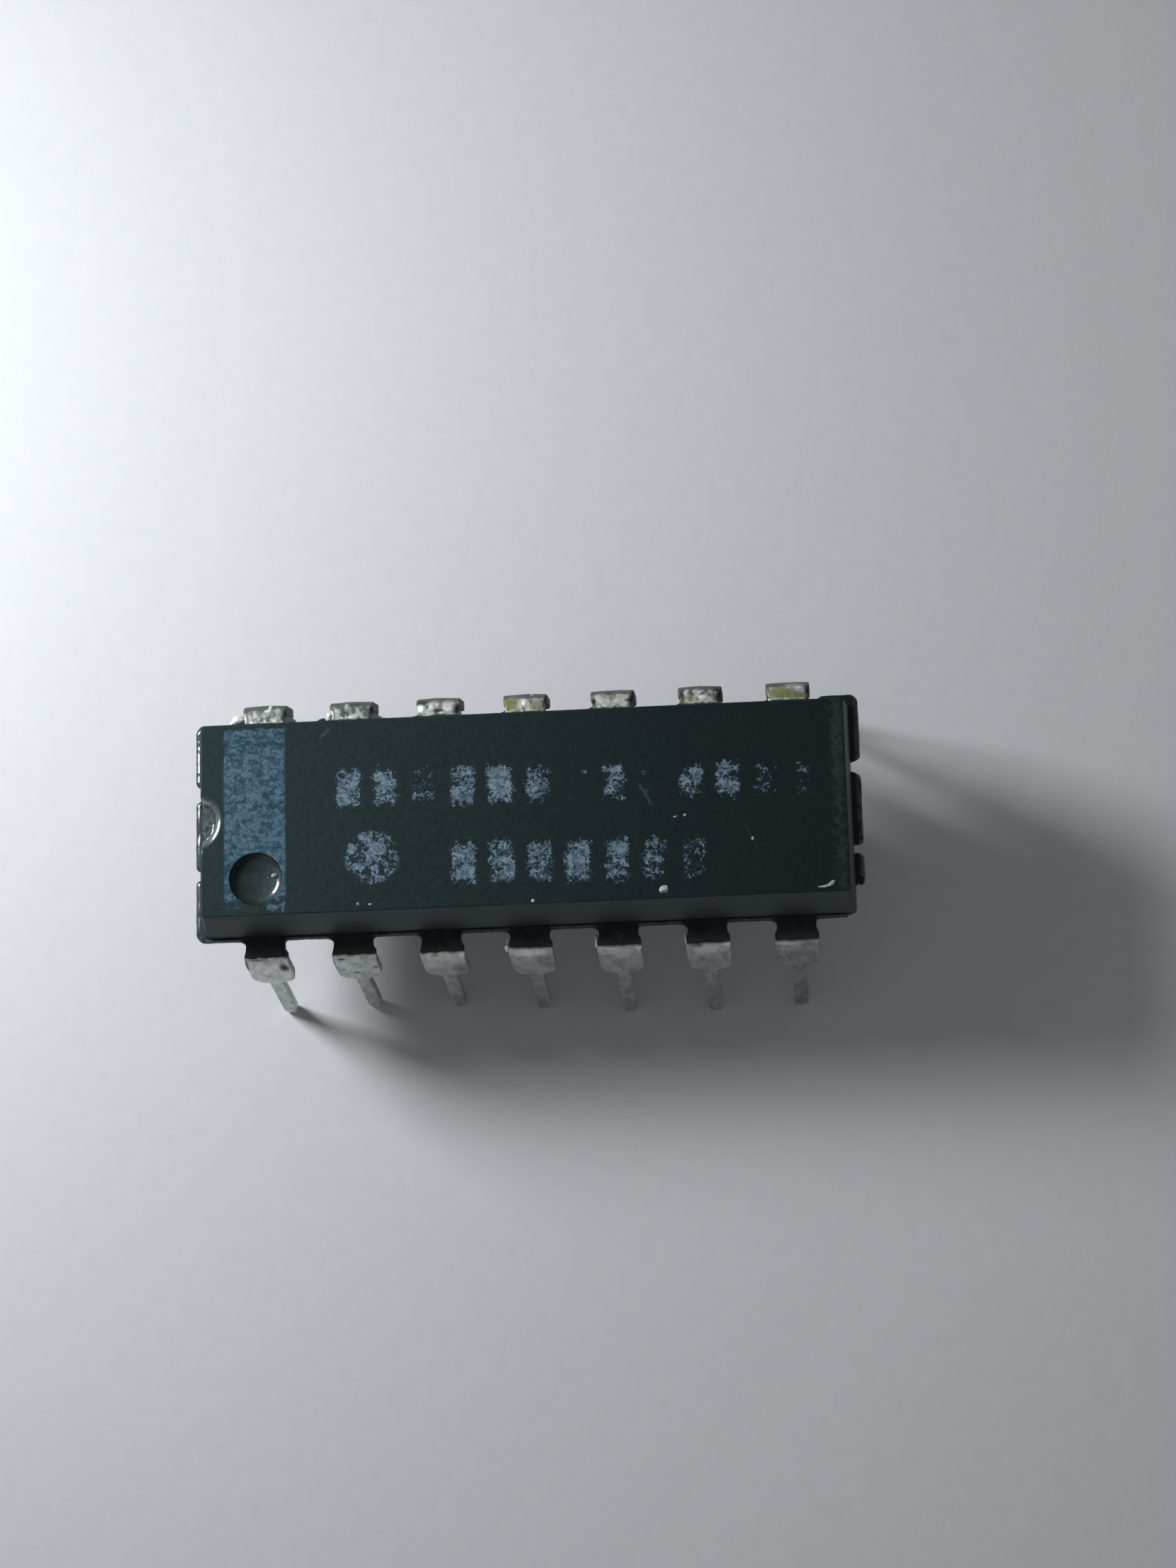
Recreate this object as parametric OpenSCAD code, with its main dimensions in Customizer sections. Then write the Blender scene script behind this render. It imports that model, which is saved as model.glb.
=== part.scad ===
// Plastic dual-in-line integrated circuit with fourteen through-hole leads, after forming.
// Millimetres. The pin tips stand on z = 0, the two rows run along X, and lead 1 is at the
// notched end (-X) of the front row (-Y). Leads are numbered anticlockwise seen from above.

/* [Moulded body] */
// Width of the body at the parting line
body_w = 6.2; // [5.6:0.1:9]
// Distance from the last lead's centre to the body's end
end_margin = 1.73; // [1.4:0.05:2.6]
// Height of the body above the lead frame
upper_h = 1.65; // [1.3:0.05:2.4]
// Height of the body below the lead frame
lower_h = 1.35; // [1.2:0.05:2.4]
// Draft of the two long sides, in degrees
side_draft = 10; // [4:0.5:14]
// Draft of the two ends, in degrees
end_draft = 5; // [3:0.5:14]
// Radius of the upright corners at the parting line
corner_r = 0.25; // [0.1:0.05:0.5]

/* [Stamped lead frame] */
// Distance between neighbouring leads
pitch = 2.54; // [2:0.01:3.3]
// Thickness of the strip
frame_t = 0.25; // [0.2:0.01:0.3]
// Width of a lead where it leaves the body
neck_w = 1.12; // [0.8:0.02:1.4]
// Flat length of a lead between the body and its bend
neck_l = 0.27; // [0.22:0.01:0.6]
// Width of a lead from the bend down to its seating shoulder
lead_w = 1.32; // [1:0.02:1.6]
// How far the trimmed dam-bar stub stands out on each side
stub_w = 0.05; // [0.02:0.01:0.1]
// Height of the dam-bar stub
stub_h = 0.3; // [0.15:0.05:0.5]

/* [Formed leads] */
// Inside radius of the bend
bend_r = 0.25; // [0.2:0.05:0.5]
// Mean outward lean of the leads, in degrees
splay = 8; // [0:0.5:12]
// How much more or less than the mean single leads lean, in degrees
splay_spread = 3; // [0:0.5:4]
// Drop from the top of the lead frame to the seating shoulder
seat_drop = 1.85; // [1.4:0.05:2.6]
// Height of the sloping seating shoulder
shoulder_h = 0.2; // [0.1:0.05:0.4]
// Width of a pin below its shoulder
pin_w = 0.46; // [0.36:0.02:0.56]
// Length of a pin below its shoulder
pin_l = 3.3; // [2.9:0.05:4.4]
// Width of the flat at the very tip
tip_w = 0.28; // [0.2:0.02:0.34]
// Height of the bevels at the tip
tip_h = 0.25; // [0.1:0.05:0.5]

/* [Index marks and ejector marks] */
// Radius of the end notch at the top face
notch_r = 0.86; // [0.7:0.02:1.1]
// How far the notch's centre lies outside the top face
notch_out = 0.3; // [0:0.05:0.4]
// Depth of the end notch
notch_depth = 0.5; // [0.3:0.05:0.8]
// Slope of the notch's wall from upright, in degrees
notch_slope = 24; // [10:1:35]
// Diameter of the pin-1 dimple
dimple_d = 1.52; // [1.2:0.02:1.8]
// Distance of the dimple's centre from the front edge of the top face
dimple_inset = 1.06; // [1:0.02:1.4]
// Depth of the dimple
dimple_depth = 0.25; // [0.15:0.05:0.4]
// Radius round the foot of the dimple's wall
dimple_fillet = 0.12; // [0.05:0.01:0.14]
// Diameter of the two ejector marks under the body
ejector_d = 1.8; // [1.2:0.1:2.4]
// Depth of the ejector marks
ejector_depth = 0.08; // [0.05:0.01:0.15]

/* [Mould flash] */
// How far the flash left between leads stands out
row_flash = 0.08; // [0.04:0.01:0.12]
// How far the flash at the two ends stands out
end_flash = 0.28; // [0.15:0.01:0.35]
// Reach of the plastic web in the corner beside each lead
root_web = 0.2; // [0.14:0.01:0.21]
// Width of the slots that the cut tie bars leave in the end flash
tie_slot = 0.26; // [0.25:0.01:0.35]
// Length of flash broken away from the front corner at the end without the notch
broken_l = 0.9; // [0.6:0.05:1.2]

/* [Die and die pad] */
// Length of the die pad
pad_l = 4.4; // [3.6:0.1:5.4]
// Width of the die pad
pad_w = 3; // [2.5:0.1:3.4]
// Distance of each tie bar from the centre line
tie_y = 1.21; // [1:0.01:1.3]
// Width of a tie bar
tie_w = 0.24; // [0.16:0.01:0.25]
// Length of the sloping step that sinks the pad
pad_step = 0.5; // [0.4:0.05:0.8]
// Length of the silicon die
die_l = 2.3; // [1.4:0.1:3.2]
// Width of the silicon die
die_w = 1.7; // [1.2:0.1:2.2]
// Thickness of the silicon die
die_t = 0.32; // [0.2:0.01:0.4]
// Thickness of the adhesive under the die
attach_t = 0.04; // [0.02:0.01:0.06]
// How far the adhesive shows round the die
attach_rim = 0.12; // [0.05:0.01:0.2]

/* [Lead fingers and bond wires] */
// Gap between the fingers' tips and the die pad
finger_gap = 0.25; // [0.2:0.01:0.4]
// Width of a finger's tip
finger_w = 0.44; // [0.36:0.02:0.5]
// Width of a finger where it turns towards the pad
finger_root_w = 0.64; // [0.5:0.02:0.7]
// Length of a lead inside the wall before it narrows to a finger
anchor_l = 0.16; // [0.1:0.02:0.3]
// Length over which it narrows
narrowing_l = 0.26; // [0.26:0.02:0.4]
// Diameter of a bond wire
wire_d = 0.03; // [0.025:0.005:0.05]
// Height of a bond wire's loop
wire_rise = 0.35; // [0.25:0.05:0.5]
// Distance of a bond from the edge of the die and from the tip of its finger
bond_inset = 0.14; // [0.1:0.01:0.2]
// Diameter of the ball bond on the die
ball_d = 0.09; // [0.07:0.01:0.1]
// Height of the ball bond
ball_h = 0.02; // [0.015:0.005:0.03]

/* [Hidden] */
leads_per_row = 7;
lead_count = 2 * leads_per_row;
lead_numbers = [1 : lead_count];
$fn = 64;

// Heights, from the pin tips up
frame_z = pin_l + seat_drop;
body_top = frame_z + upper_h;
body_bottom = frame_z - frame_t - lower_h;
pad_z = frame_z - die_t - attach_t;

// Plan sizes
body_l = (leads_per_row - 1) * pitch + 2 * end_margin;
half_l = body_l / 2;
half_w = body_w / 2;
top_half_l = half_l - upper_h * tan(end_draft);
top_half_w = half_w - upper_h * tan(side_draft);
bend_y = half_w + neck_l;
pad_edge = max(pad_w, 2 * tie_y + tie_w) / 2;
finger_y = pad_edge + finger_gap;

// Spacing of the inner fingers' tips along the pad
tip_pitch = pad_l / 3.2;
// How far the outermost fingers' tips stay back from the pad's corners, as a share of the room
outer_share = 0.85;
// Distance along the body over which an outermost finger turns
turn_l = 0.3 * pitch;
// Hollow of the plastic webs: how close to the lead, how far out there, and how far up the lead
web_near = root_web / 3;
web_out = root_web / 4;
web_climb = 0.8 * root_web;
// Change of the lean's swell from one lead to the next, in degrees
lean_step = 45;
// A bond wire is drawn with eight sides
wire_sides = 8;

plastic = [0.16, 0.19, 0.20];
tinned = [0.74, 0.75, 0.74];
copper = [0.72, 0.45, 0.30];

// Larger than anything that is cut
past = 2 * (body_l + body_w + frame_z);

// Which row a lead is in, and which place along the row, counted from the notched end
function in_front(n) = n <= leads_per_row;
function place(n) = in_front(n) ? n - 1 : lead_count - n;
function from_middle(n) = place(n) - (leads_per_row - 1) / 2;
function lead_x(n) = from_middle(n) * pitch;

// The rows were bent a little unevenly: the lean swells and fades along a row
function lean(n) = splay + (in_front(n) ? 1 : -1) * splay_spread * sin(lean_step * from_middle(n));

// Half outline [[x, y], ...] made whole by its mirror image in the Y axis
function with_mirror(half) =
    concat(half, [for (i = [len(half) - 1 : -1 : 0]) [-half[i][0], half[i][1]]]);

// Section of the body across one direction: [half width, height] from the top face down
function drafted(half, draft) = with_mirror([
    [half - upper_h * tan(draft), body_top],
    [half, frame_z],
    [half, frame_z - frame_t],
    [half - lower_h * tan(draft), body_bottom]
]);

// A finger's centre line is [x, y, width] points, in a row whose leads point to +Y. Inner
// leads go straight in, the next slant to the pad's corners, and outer ones reach along the body.
function finger_path(n) =
    let (
        k = from_middle(n),
        side = sign(k),
        x = lead_x(n),
        corner_x = pad_l / 2 + finger_gap + finger_w,
        outer_x = corner_x + outer_share * (2 * pitch - corner_x),
        tip_x = abs(k) < 2 ? k * tip_pitch : side * (abs(k) < 3 ? corner_x : outer_x),
        turn = abs(k) < 3 ? [] : [[x - side * turn_l, finger_y, finger_w]]
    )
    concat(
        [
            [x, bend_y, neck_w],
            [x, half_w - anchor_l, neck_w],
            [x, half_w - anchor_l - narrowing_l, finger_root_w]
        ],
        turn,
        [[tip_x, finger_y, finger_w]]
    );

function unit(v) = v / norm(v);
function left_of(v) = [-v[1], v[0]];
function flat(p) = [p[0], p[1]];

// Offset of point i of a path to its left, mitred between the two stretches that meet there
function mitre(path, i) =
    let (
        last = len(path) - 1,
        before = unit(flat(path[max(i, 1)]) - flat(path[max(i, 1) - 1])),
        after = unit(flat(path[min(i + 1, last)]) - flat(path[min(i + 1, last) - 1])),
        normal = unit(left_of(before) + left_of(after))
    )
    normal * path[i][2] / 2 / (normal * left_of(before));

// Outline of a strip whose width changes along its path
function strip_outline(path) = concat(
    [for (i = [0 : len(path) - 1]) flat(path[i]) + mitre(path, i)],
    [for (i = [len(path) - 1 : -1 : 0]) flat(path[i]) - mitre(path, i)]
);

// Stands a drawing of [across, height] upright, seen along X
module seen_along_x() {
    rotate([90, 0, 90]) translate([0, 0, -past]) linear_extrude(2 * past) children();
}

// Stands a drawing of [x, height] upright, seen along Y
module seen_along_y() {
    rotate([90, 0, 0]) translate([0, 0, -past]) linear_extrude(2 * past) children();
}

// Everything in the frame's own thickness is cut from the flat strip
module in_frame_plane() {
    translate([0, 0, frame_z - frame_t]) linear_extrude(frame_t) children();
}

module rounded_rectangle(l, w, r) {
    square([l - 2 * r, w], center = true);
    square([l, w - 2 * r], center = true);
    for (x = [-1, 1], y = [-1, 1])
        translate([x * (l / 2 - r), y * (w / 2 - r)]) circle(r);
}

// Puts a lead drawn at the origin, pointing to +Y, in its place in its row
module in_row(n) {
    translate([lead_x(n), 0, 0]) mirror([0, in_front(n) ? 1 : 0, 0]) children();
}

// The flat part of a lead: finger, wall and neck
module finger(n) {
    mirror([0, in_front(n) ? 1 : 0, 0])
        in_frame_plane() polygon(strip_outline(finger_path(n)));
}

// Side view of the bent strip: the bend, then the straight pin leaning out
module bent_section(angle) {
    outer_r = bend_r + frame_t;
    translate([bend_y, frame_z - outer_r]) {
        intersection() {
            difference() {
                circle(outer_r);
                circle(bend_r);
            }
            polygon([[0, 0], 2 * outer_r * [cos(angle), sin(angle)], 2 * outer_r * [1, 1], [0, 2 * outer_r]]);
        }
        rotate(angle) translate([bend_r, -2 * frame_z]) square([frame_t, 2 * frame_z]);
    }
}

// Front view of a lead from the bend down, as the strip was stamped
module stamped_front() {
    seat_z = frame_z - seat_drop;
    polygon(with_mirror([
        [lead_w / 2 + stub_w, frame_z + frame_t],
        [lead_w / 2 + stub_w, frame_z - stub_h],
        [lead_w / 2, frame_z - stub_h - stub_w],
        [lead_w / 2, seat_z],
        [pin_w / 2, seat_z - shoulder_h],
        [pin_w / 2, tip_h],
        [tip_w / 2, 0]
    ]));
}

module lead(n) {
    color(tinned) union() {
        finger(n);
        in_row(n) intersection() {
            seen_along_x() bent_section(lean(n));
            seen_along_y() stamped_front();
        }
    }
}

// The pad is sunk so that the die's top is level with the fingers
module die_pad() {
    ramp_in = pad_l / 2 - frame_t / 2;
    ramp_out = ramp_in + pad_step;
    top_line = [[0, pad_z], [ramp_in, pad_z], [ramp_out, frame_z], [half_l, frame_z]];
    under_line = [for (i = [3 : -1 : 0]) top_line[i] - [0, frame_t]];
    color(copper) union() {
        translate([-pad_l / 2, -pad_w / 2, pad_z - frame_t]) cube([pad_l, pad_w, frame_t]);
        intersection() {
            seen_along_y() for (side = [0, 1]) mirror([side, 0]) polygon(concat(top_line, under_line));
            for (side = [-1, 1])
                translate([-half_l, side * tie_y - tie_w / 2, 0]) cube([body_l, tie_w, body_top]);
        }
    }
}

module die_attach() {
    l = die_l + 2 * attach_rim;
    w = die_w + 2 * attach_rim;
    color("gainsboro") translate([-l / 2, -w / 2, pad_z]) cube([l, w, attach_t]);
}

module die() {
    color("slategray") translate([-die_l / 2, -die_w / 2, pad_z + attach_t]) cube([die_l, die_w, die_t]);
}

// Where the wire to lead n leaves the die, and where it lands, back from its finger's tip
function bond_on_die(n) = [
    from_middle(n) * (die_l - 2 * bond_inset) / (leads_per_row - 1),
    (in_front(n) ? -1 : 1) * (die_w / 2 - bond_inset)
];
function bond_on_finger(n) =
    let (
        path = finger_path(n),
        tip = flat(path[len(path) - 1]),
        back = unit(flat(path[len(path) - 2]) - tip),
        spot = tip + bond_inset * back
    )
    [spot[0], (in_front(n) ? -1 : 1) * spot[1]];

// A loop of wire from the die to finger n, level at both ends
module bond_wire(n) {
    from = bond_on_die(n);
    to = bond_on_finger(n);
    reach = norm(to - from);
    loop_r = (reach * reach / 4 + wire_rise * wire_rise) / (2 * wire_rise);
    color("gold") translate([0, 0, frame_z]) union() {
        translate([from[0], from[1], 0]) cylinder(d = ball_d, h = ball_h);
        intersection() {
            translate([(from[0] + to[0]) / 2, (from[1] + to[1]) / 2, wire_rise - loop_r])
                rotate([90, 0, atan2(to[1] - from[1], to[0] - from[0])])
                    rotate_extrude() translate([loop_r, 0]) circle(d = wire_d, $fn = wire_sides);
            translate([-half_l, -half_w, 0]) cube([body_l, body_w, upper_h]);
        }
    }
}

// Flash in the plane of the lead frame, squeezed out between the strip's openings
module row_flash_outline() {
    translate([-half_l + corner_r, 0]) square([body_l - 2 * corner_r, half_w + row_flash]);
    for (n = [1 : leads_per_row]) {
        edge = neck_w / 2;
        translate([lead_x(n), half_w]) polygon(with_mirror([
            [edge + row_flash + root_web, -row_flash],
            [edge + row_flash + root_web, row_flash],
            [edge + web_near, row_flash + web_out],
            [edge, row_flash + web_climb]
        ]));
    }
}

// Quarter of the end flash with its rounded outer corner whole
module end_flash_quarter() {
    reach = half_l + end_flash;
    square([reach, half_w - corner_r]);
    square([reach - corner_r, half_w + row_flash]);
    translate([reach - corner_r, half_w + row_flash - corner_r]) circle(corner_r);
}

// Flash at one end, parted by the two tie bars, its front corner whole or broken off
module end_flash_outline(broken) {
    difference() {
        union() {
            end_flash_quarter();
            mirror([0, 1]) {
                if (broken) square([half_l + end_flash, half_w - broken_l]);
                else end_flash_quarter();
            }
        }
        translate([half_l, -tie_y - tie_slot / 2]) square([past, tie_slot]);
        translate([half_l, tie_y]) rotate(-90) polygon(with_mirror([
            [tie_slot / 2, 0],
            [tie_slot, end_flash]
        ]));
    }
}

module flash() {
    in_frame_plane() {
        row_flash_outline();
        mirror([0, 1]) row_flash_outline();
        end_flash_outline(broken = true);
        mirror([1, 0]) end_flash_outline(broken = false);
    }
}

module end_notch() {
    floor_r = notch_r - notch_depth * tan(notch_slope);
    translate([-top_half_l - notch_out, 0, body_top - notch_depth])
        cylinder(r1 = floor_r, r2 = 2 * notch_r - floor_r, h = 2 * notch_depth);
}

// Flat-bottomed round recess with a filleted foot, opening to +Z
module dimple(d, depth, fillet) {
    r = d / 2;
    rotate_extrude() {
        square([r - fillet, depth + 1]);
        translate([0, fillet]) square([r, depth + 1 - fillet]);
        translate([r - fillet, fillet]) circle(fillet);
    }
}

module moulding() {
    intersection() {
        seen_along_x() polygon(drafted(half_w, side_draft));
        seen_along_y() polygon(drafted(half_l, end_draft));
        translate([0, 0, body_bottom])
            linear_extrude(body_top - body_bottom) rounded_rectangle(body_l, body_w, corner_r);
    }
}

module body() {
    color(plastic) difference() {
        union() {
            moulding();
            flash();
        }
        end_notch();
        translate([lead_x(1), -top_half_w + dimple_inset, body_top - dimple_depth])
            dimple(dimple_d, dimple_depth, dimple_fillet);
        for (side = [-1, 1])
            translate([side * 2 * pitch, 0, body_bottom - 1])
                cylinder(d = ejector_d, h = 1 + ejector_depth);
        for (n = lead_numbers) finger(n);
        for (n = lead_numbers) bond_wire(n);
        die_pad();
        die_attach();
        die();
    }
}

body();
die_pad();
die_attach();
die();
for (n = lead_numbers) {
    lead(n);
    bond_wire(n);
}
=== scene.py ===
# A used plastic dual-in-line integrated circuit with fourteen leads, desoldered from a board and
# set down on a sheet of paper. It is made here in the order in which such a part is put together.
import math

import bmesh
import bpy
import numpy as np
from mathutils import Matrix, Vector, noise


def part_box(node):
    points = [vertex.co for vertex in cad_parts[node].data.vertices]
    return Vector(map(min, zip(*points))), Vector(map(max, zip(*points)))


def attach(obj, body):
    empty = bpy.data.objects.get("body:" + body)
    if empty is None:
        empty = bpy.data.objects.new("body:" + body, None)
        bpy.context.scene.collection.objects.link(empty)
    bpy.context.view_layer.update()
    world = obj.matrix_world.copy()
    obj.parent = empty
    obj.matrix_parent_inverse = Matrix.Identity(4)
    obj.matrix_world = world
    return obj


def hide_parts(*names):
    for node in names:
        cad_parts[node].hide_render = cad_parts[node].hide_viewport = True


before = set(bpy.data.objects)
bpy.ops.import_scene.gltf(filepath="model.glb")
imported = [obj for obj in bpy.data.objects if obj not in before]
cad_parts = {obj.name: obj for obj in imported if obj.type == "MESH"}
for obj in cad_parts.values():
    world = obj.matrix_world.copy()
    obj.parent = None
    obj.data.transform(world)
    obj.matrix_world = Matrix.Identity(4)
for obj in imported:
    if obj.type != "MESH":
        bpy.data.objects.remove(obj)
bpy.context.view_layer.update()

# ------------------------------------------------------------------ Die pad and its tie bars
# The sunk middle of the stamped strip, in rolled copper alloy, spot-plated with silver where the
# die is stuck down. Four tie bars held it to the strip and were cut flush with the body's ends.

MM = 0.001  # the frame is in metres; meshes and finishes are worked out in millimetres


def arithmetic(operation, swapped=False):
    def combine(self, *others):
        values = (self, *others)
        values = values[::-1] if swapped else values
        return self.recipe.node("Math", {"operation": operation}, dict(enumerate(values)))

    return combine


class Field:
    """A value, colour or direction that varies over a surface: one output of one shader node."""

    def __init__(self, recipe, socket):
        self.recipe, self.socket = recipe, socket

    __add__ = __radd__ = arithmetic("ADD")
    __mul__ = __rmul__ = arithmetic("MULTIPLY")
    __sub__, __rsub__ = arithmetic("SUBTRACT"), arithmetic("SUBTRACT", swapped=True)
    __truediv__, __rtruediv__ = arithmetic("DIVIDE"), arithmetic("DIVIDE", swapped=True)
    __abs__ = arithmetic("ABSOLUTE")
    least, most = arithmetic("MINIMUM"), arithmetic("MAXIMUM")
    rest = arithmetic("FRACT")

    def rise(self, start, end):
        """0 up to start and 1 from end on, smooth between; it falls where start is above end."""
        ends = {"Value": self, "From Min": start, "From Max": end}
        return self.recipe.node("MapRange", {"interpolation_type": "SMOOTHSTEP"}, ends)

    def steps(self, stops):
        """Grey levels along a ramp of (place, level) stops."""
        return self.recipe.node("ValToRGB", {"stops": stops}, {0: self})


class Recipe:
    """The nodes of one material or world, worked in millimetres of the frame."""

    def __init__(self, tree):
        self.tree = tree
        metres = self.node("TexCoord", out="Object")
        self.place = self.node("VectorMath", {"operation": "SCALE"}, {0: metres, "Scale": 1 / MM})
        axes = self.node("SeparateXYZ", inputs={0: self.place}).socket.node.outputs
        self.x, self.y, self.z = (Field(self, axis) for axis in axes)

    def node(self, kind, settings={}, inputs={}, out=0):
        made = self.tree.nodes.new("ShaderNode" + kind)
        for name, value in settings.items():
            if name == "stops":
                ramp = made.color_ramp.elements
                while len(ramp) < len(value):
                    ramp.new(1)
                for element, (place, level) in zip(ramp, value):
                    element.position, element.color = place, (level, level, level, 1)
            else:
                setattr(made, name, value)
        for name, value in inputs.items():
            socket = made.inputs[name]
            if isinstance(value, Field):
                self.tree.links.new(value.socket, socket)
            elif socket.type == "RGBA":
                socket.default_value = (*value, 1)
            else:
                socket.default_value = value
        return Field(self, made.outputs[out])

    def mix(self, first, second, share, how="MIX"):
        settings = {"data_type": "RGBA", "blend_type": how}
        return self.node("Mix", settings, {0: share, 6: first, 7: second}, out=2)

    def grain(self, size, stretch=(1, 1, 1), shift=0, detail=2, rough=0.5, twist=0, out=0):
        """Noise with lumps of about this size in millimetres, drawn out along an axis by stretch."""
        scale = [1 / (size * s) for s in stretch]
        spot = self.node("VectorMath", {"operation": "MULTIPLY_ADD"},
                         {0: self.place, 1: scale, 2: (shift, 2 * shift, 3 * shift)})
        return self.node("TexNoise", {}, {
            "Vector": spot, "Scale": 1, "Detail": detail, "Roughness": rough, "Distortion": twist,
        }, out)

    def bump(self, height, depth, under=None):
        """Raises a height of 0 to 1 by depth millimetres, over another bump if there is one."""
        inputs = {"Strength": 1, "Distance": depth * MM, "Height": height}
        return self.node("Bump", {}, inputs | ({"Normal": under} if under else {}))


class Finish(Recipe):
    """A material of one Principled shader: constants on its own sockets, then what varies."""

    def __init__(self, name, **constants):
        self.material = bpy.data.materials.new(name)
        self.material.use_nodes = True
        super().__init__(self.material.node_tree)
        self.shader = self.tree.nodes["Principled BSDF"]
        for socket, value in constants.items():
            self.shader.inputs[socket.replace("_", " ")].default_value = value

    def vary(self, **fields):
        for socket, field in fields.items():
            self.tree.links.new(field.socket, self.shader.inputs[socket.replace("_", " ")])

    def cover(self, piece):
        if not piece.material_slots:
            piece.data.materials.append(None)
        for slot in piece.material_slots:
            slot.material = self.material


copper = Finish("rolled_copper", Metallic=1.0)
rolling = copper.grain(0.012, stretch=(40, 1, 1), detail=3)
stain = copper.grain(0.5, detail=4, rough=0.6)
bare_copper = copper.mix((0.50, 0.24, 0.14), (0.76, 0.43, 0.28), rolling)
bare_copper = copper.mix(bare_copper, (0.30, 0.13, 0.09), stain.rise(0.5, 0.75) * 0.6)
attach_low, attach_high = (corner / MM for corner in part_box("die_attach"))
plating_reach, plating_fade = 0.3, 0.04
ragged = (copper.grain(0.15, detail=3) - 0.5) * 0.12
inside_x, inside_y = (
    (abs(place) + ragged).rise(edge + plating_reach + plating_fade, edge + plating_reach)
    for place, edge in ((copper.x, attach_high.x), (copper.y, attach_high.y))
)
plated = inside_x * inside_y * copper.z.rise(attach_low.z - 0.02, attach_low.z - 0.01)
copper.vary(
    Base_Color=copper.mix(bare_copper, (0.82, 0.80, 0.75), plated),
    Roughness=0.24 + rolling * 0.18 + stain * 0.1,
    Normal=copper.bump(rolling, 0.0012),
)
copper.cover(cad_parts["die_pad"])

# ------------------------------------------------------------------ Adhesive
# A thin bed of epoxy filled with silver flake, printed on the pad and squeezed out in a rim when
# the die was pressed into it, then baked hard.

adhesive = Finish("silver_adhesive")
flake = adhesive.node("TexVoronoi", {"feature": "F1"}, {"Vector": adhesive.place, "Scale": 60},
                      out="Color")
flake = adhesive.node("SeparateColor", inputs={0: flake})
lumps = adhesive.grain(0.12, detail=3)
adhesive.vary(
    Base_Color=adhesive.mix((0.30, 0.29, 0.27), (0.70, 0.69, 0.66), flake),
    Metallic=0.35 + flake * 0.6,
    Roughness=0.38 + flake * 0.3,
    Normal=adhesive.bump(flake, 0.002, under=adhesive.bump(lumps, 0.01)),
)
adhesive.cover(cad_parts["die_attach"])

# ------------------------------------------------------------------ Silicon die
# A sawn chip of silicon. Its polished face carries rows of logic under glassy oxide, a bus
# round them and aluminium bond pads along both long edges; its sides show the saw's marks.

silicon = Finish("silicon_die")
die_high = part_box("die")[1] / MM
pad_half, pad_inset, pad_gaps = 0.05, 0.14, 6  # seven bond pads in a row
pad_pitch = (die_high.x - pad_inset) * 2 / pad_gaps
pad_line = die_high.y - pad_inset
pad_x = abs((silicon.x / pad_pitch + 0.5).rest() - 0.5) * pad_pitch
pad_y = abs(abs(silicon.y) - pad_line)
pads = pad_x.rise(pad_half + 0.004, pad_half) * pad_y.rise(pad_half + 0.004, pad_half)
core_half_x, core_half_y = die_high.x - 0.23, pad_line - 0.10
core = abs(silicon.x).rise(core_half_x + 0.01, core_half_x)
core = core * abs(silicon.y).rise(core_half_y + 0.01, core_half_y)
cells = silicon.node("TexBrick", {"offset": 0.35, "squash": 0.6, "squash_frequency": 3}, {
    "Vector": silicon.place, "Color1": (0.10, 0.16, 0.13), "Color2": (0.26, 0.19, 0.22),
    "Mortar": (0.55, 0.52, 0.45), "Scale": 1, "Mortar Size": 0.006, "Mortar Smooth": 0.1,
    "Brick Width": 0.11, "Row Height": 0.045,
})
blocks = silicon.node("TexVoronoi", {"feature": "F1", "distance": "CHEBYCHEV"},
                      {"Vector": silicon.place, "Scale": 3.2, "Randomness": 0.8}, out="Color")
bus = abs(abs(silicon.y) - pad_line + 0.08).rise(0.015, 0.01)
street = silicon.mix((0.09, 0.10, 0.12), (0.42, 0.40, 0.36), bus)
face = silicon.mix(street, silicon.mix(cells, blocks, 0.22, how="OVERLAY"), core)
face = silicon.mix(face, (0.83, 0.82, 0.80), pads)
top = silicon.z.rise(die_high.z - 0.012, die_high.z - 0.008)
sawn = silicon.grain(0.006, stretch=(30, 30, 1), detail=2)
silicon.vary(
    Base_Color=silicon.mix(silicon.mix((0.10, 0.10, 0.11), (0.20, 0.20, 0.21), sawn), face, top),
    Metallic=0.35 + top * pads * 0.6,
    Roughness=0.5 - top * 0.36 + sawn * 0.15 * (1 - top),
    Normal=silicon.bump((1 - top) * sawn, 0.002),
)
silicon.cover(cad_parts["die"])

# ------------------------------------------------------------------ Bond wires
# Fourteen gold wires, each ball-bonded to its pad on the die and stitched to the finger of its
# lead, with the faint lengthwise lines that drawing leaves.

gold = Finish("bond_gold", Metallic=1.0)
drawn = gold.grain(0.02, detail=3)
gold.vary(
    Base_Color=gold.mix((0.78, 0.50, 0.16), (0.98, 0.70, 0.30), drawn),
    Roughness=0.16 + drawn * 0.16,
    Normal=gold.bump(drawn, 0.0006),
)
lead_numbers = range(1, 15)
for n in lead_numbers:
    gold.cover(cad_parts[f"bond_wire_{n}"])

# ------------------------------------------------------------------ Leads
# Fourteen leads stamped from the same strip, tinned, then bent down after moulding. Where the
# solder hasn't wetted them again they are painted almost black, a painted dark reflection.

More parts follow.
